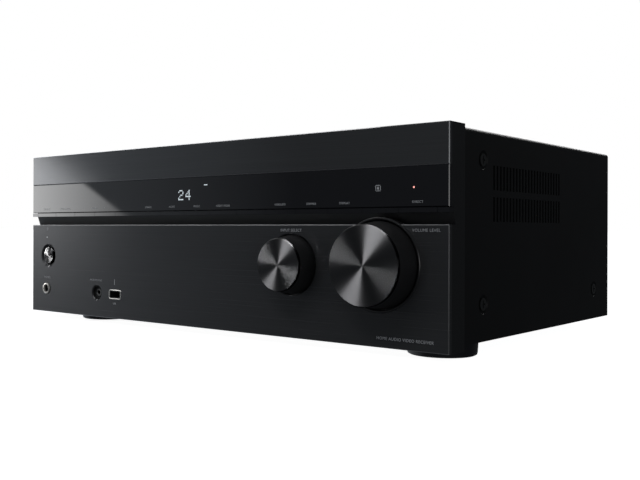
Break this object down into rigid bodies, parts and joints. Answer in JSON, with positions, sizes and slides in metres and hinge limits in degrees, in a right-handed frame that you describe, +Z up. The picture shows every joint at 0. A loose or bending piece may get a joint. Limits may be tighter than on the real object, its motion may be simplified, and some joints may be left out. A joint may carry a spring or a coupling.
{
  "type": "audio-video receiver",
  "caption": "Full-width home audio-video receiver: brushed black front with display window, function buttons, two knobs, vented steel case and rear terminals.",
  "frame": {"origin": "on the surface it stands on, under the middle of the bounding box", "axes": "+Z up, +X to the right seen from the front, +Y from the front to the back"},
  "size_m": [0.43, 0.313, 0.1475],
  "materials": {
    "brushed_panel": "black anodised, brushed along its width",
    "display_window": "near-black gloss acrylic",
    "black_moulding": "satin black moulding",
    "gloss_black": "gloss black",
    "knob_side": "satin black lacquer",
    "spun_face": "black anodised, spun on a lathe",
    "ring": "black anodised with a polished edge",
    "shaft_steel": "turned steel",
    "encoder": "moulded encoder case",
    "nickel": "nickel plate",
    "jack_black": "black socket moulding",
    "tube_glass": "fluorescent display tube",
    "green_board": "circuit board",
    "coated_steel": "black fine-texture coating",
    "zinc_steel": "zinc-plated sheet",
    "foot": "gloss black foot",
    "screw_black": "black screw",
    "rear_paint": "black coating",
    "cap_red": "red cap",
    "cap_black": "black cap",
    "terminal": "black terminal block with plated studs",
    "phono": "gold-plated barrels",
    "socket_steel": "tin-plated shell",
    "inlet": "black inlet",
    "core_steel": "varnished laminations",
    "coil": "taped copper winding",
    "sink": "extruded aluminium",
    "print": "printed marks",
    "glow": "lit display and lamps",
    "chip": "epoxy package",
    "can": "sleeved can",
    "ribbon": "flat ribbon cable"
  },
  "bodies": {
    "root": {"upper_trim": "brushed_panel", "display_window": "display_window", "lower_panel": "brushed_panel", "front_fascia": "black_moulding", "strip_blanks": "gloss_black", "volume_ring": "ring", "rotary_encoders": "encoder", "headphone_jack": "nickel", "microphone_jack": "jack_black", "usb_port": "nickel", "display_tube": "tube_glass", "front_boards": "green_board", "top_cover": "coated_steel", "base_chassis": "zinc_steel", "feet": "foot", "case_screws": "screw_black", "rear_panel": "rear_paint", "speaker_terminals": "terminal", "rca_sockets": "phono", "hdmi_ports": "socket_steel", "data_sockets": "socket_steel", "aerial_terminals": "nickel", "ac_inlet": "inlet", "transformer_core": "core_steel", "transformer_coil": "coil", "heat_sink": "sink", "power_transistors": "chip", "amplifier_board": "green_board", "filter_capacitors": "can", "digital_board": "green_board", "ribbon_cable": "ribbon"},
    "button_speakers": {"button_speakers": "gloss_black"},
    "button_tuning_mode": {"button_tuning_mode": "gloss_black"},
    "button_tuning_down": {"button_tuning_down": "gloss_black"},
    "button_tuning_up": {"button_tuning_up": "gloss_black"},
    "button_stereo_mode": {"button_stereo_mode": "gloss_black"},
    "button_movie_mode": {"button_movie_mode": "gloss_black"},
    "button_music_mode": {"button_music_mode": "gloss_black"},
    "button_night_mode": {"button_night_mode": "gloss_black"},
    "button_wireless": {"button_wireless": "gloss_black"},
    "button_dimmer": {"button_dimmer": "gloss_black"},
    "button_display": {"button_display": "gloss_black"},
    "button_direct": {"button_direct": "gloss_black"},
    "terminal_cap_1_negative": {"terminal_cap_1_negative": "cap_black"},
    "terminal_cap_1_positive": {"terminal_cap_1_positive": "cap_red"},
    "terminal_cap_2_negative": {"terminal_cap_2_negative": "cap_black"},
    "terminal_cap_2_positive": {"terminal_cap_2_positive": "cap_red"},
    "terminal_cap_3_negative": {"terminal_cap_3_negative": "cap_black"},
    "terminal_cap_3_positive": {"terminal_cap_3_positive": "cap_red"},
    "terminal_cap_4_negative": {"terminal_cap_4_negative": "cap_black"},
    "terminal_cap_4_positive": {"terminal_cap_4_positive": "cap_red"},
    "terminal_cap_5_negative": {"terminal_cap_5_negative": "cap_black"},
    "terminal_cap_5_positive": {"terminal_cap_5_positive": "cap_red"},
    "power_button": {"power_button": "spun_face"},
    "volume_knob": {"volume_knob": "knob_side", "volume_knob_face": "spun_face", "volume_shaft": "shaft_steel"},
    "selector_knob": {"selector_knob": "knob_side", "selector_knob_face": "spun_face", "selector_shaft": "shaft_steel"}
  },
  "joints": [
    {"name": "button_speakers_press", "type": "slide", "parent": "root", "child": "button_speakers", "axis": [0, 1, 0], "range_m": [0, 0.0008], "stiffness_N_per_m": 1000},
    {"name": "button_tuning_mode_press", "type": "slide", "parent": "root", "child": "button_tuning_mode", "axis": [0, 1, 0], "range_m": [0, 0.0008], "stiffness_N_per_m": 1000},
    {"name": "button_tuning_down_press", "type": "slide", "parent": "root", "child": "button_tuning_down", "axis": [0, 1, 0], "range_m": [0, 0.0008], "stiffness_N_per_m": 1000},
    {"name": "button_tuning_up_press", "type": "slide", "parent": "root", "child": "button_tuning_up", "axis": [0, 1, 0], "range_m": [0, 0.0008], "stiffness_N_per_m": 1000},
    {"name": "button_stereo_mode_press", "type": "slide", "parent": "root", "child": "button_stereo_mode", "axis": [0, 1, 0], "range_m": [0, 0.0008], "stiffness_N_per_m": 1000},
    {"name": "button_movie_mode_press", "type": "slide", "parent": "root", "child": "button_movie_mode", "axis": [0, 1, 0], "range_m": [0, 0.0008], "stiffness_N_per_m": 1000},
    {"name": "button_music_mode_press", "type": "slide", "parent": "root", "child": "button_music_mode", "axis": [0, 1, 0], "range_m": [0, 0.0008], "stiffness_N_per_m": 1000},
    {"name": "button_night_mode_press", "type": "slide", "parent": "root", "child": "button_night_mode", "axis": [0, 1, 0], "range_m": [0, 0.0008], "stiffness_N_per_m": 1000},
    {"name": "button_wireless_press", "type": "slide", "parent": "root", "child": "button_wireless", "axis": [0, 1, 0], "range_m": [0, 0.0008], "stiffness_N_per_m": 1000},
    {"name": "button_dimmer_press", "type": "slide", "parent": "root", "child": "button_dimmer", "axis": [0, 1, 0], "range_m": [0, 0.0008], "stiffness_N_per_m": 1000},
    {"name": "button_display_press", "type": "slide", "parent": "root", "child": "button_display", "axis": [0, 1, 0], "range_m": [0, 0.0008], "stiffness_N_per_m": 1000},
    {"name": "button_direct_press", "type": "slide", "parent": "root", "child": "button_direct", "axis": [0, 1, 0], "range_m": [0, 0.0008], "stiffness_N_per_m": 1000},
    {"name": "terminal_cap_1_negative_turn", "type": "hinge", "parent": "root", "child": "terminal_cap_1_negative", "pos_m": [-0.125, 0.148, 0.036], "axis": [0, 1, 0], "range_deg": [0, 990]},
    {"name": "terminal_cap_1_positive_turn", "type": "hinge", "parent": "root", "child": "terminal_cap_1_positive", "pos_m": [-0.125, 0.148, 0.062], "axis": [0, 1, 0], "range_deg": [0, 990]},
    {"name": "terminal_cap_2_negative_turn", "type": "hinge", "parent": "root", "child": "terminal_cap_2_negative", "pos_m": [-0.095, 0.148, 0.036], "axis": [0, 1, 0], "range_deg": [0, 990]},
    {"name": "terminal_cap_2_positive_turn", "type": "hinge", "parent": "root", "child": "terminal_cap_2_positive", "pos_m": [-0.095, 0.148, 0.062], "axis": [0, 1, 0], "range_deg": [0, 990]},
    {"name": "terminal_cap_3_negative_turn", "type": "hinge", "parent": "root", "child": "terminal_cap_3_negative", "pos_m": [-0.065, 0.148, 0.036], "axis": [0, 1, 0], "range_deg": [0, 990]},
    {"name": "terminal_cap_3_positive_turn", "type": "hinge", "parent": "root", "child": "terminal_cap_3_positive", "pos_m": [-0.065, 0.148, 0.062], "axis": [0, 1, 0], "range_deg": [0, 990]},
    {"name": "terminal_cap_4_negative_turn", "type": "hinge", "parent": "root", "child": "terminal_cap_4_negative", "pos_m": [-0.035, 0.148, 0.036], "axis": [0, 1, 0], "range_deg": [0, 990]},
    {"name": "terminal_cap_4_positive_turn", "type": "hinge", "parent": "root", "child": "terminal_cap_4_positive", "pos_m": [-0.035, 0.148, 0.062], "axis": [0, 1, 0], "range_deg": [0, 990]},
    {"name": "terminal_cap_5_negative_turn", "type": "hinge", "parent": "root", "child": "terminal_cap_5_negative", "pos_m": [-0.005, 0.148, 0.036], "axis": [0, 1, 0], "range_deg": [0, 990]},
    {"name": "terminal_cap_5_positive_turn", "type": "hinge", "parent": "root", "child": "terminal_cap_5_positive", "pos_m": [-0.005, 0.148, 0.062], "axis": [0, 1, 0], "range_deg": [0, 990]},
    {"name": "power_press", "type": "slide", "parent": "root", "child": "power_button", "axis": [0, 1, 0], "range_m": [0, 0.0008], "stiffness_N_per_m": 1000},
    {"name": "volume_turn", "type": "hinge", "parent": "root", "child": "volume_knob", "pos_m": [0.1643, -0.1385, 0.0585], "axis": [0, 1, 0], "continuous": true},
    {"name": "selector_turn", "type": "hinge", "parent": "root", "child": "selector_knob", "pos_m": [0.0926, -0.1385, 0.0568], "axis": [0, 1, 0], "continuous": true}
  ]
}
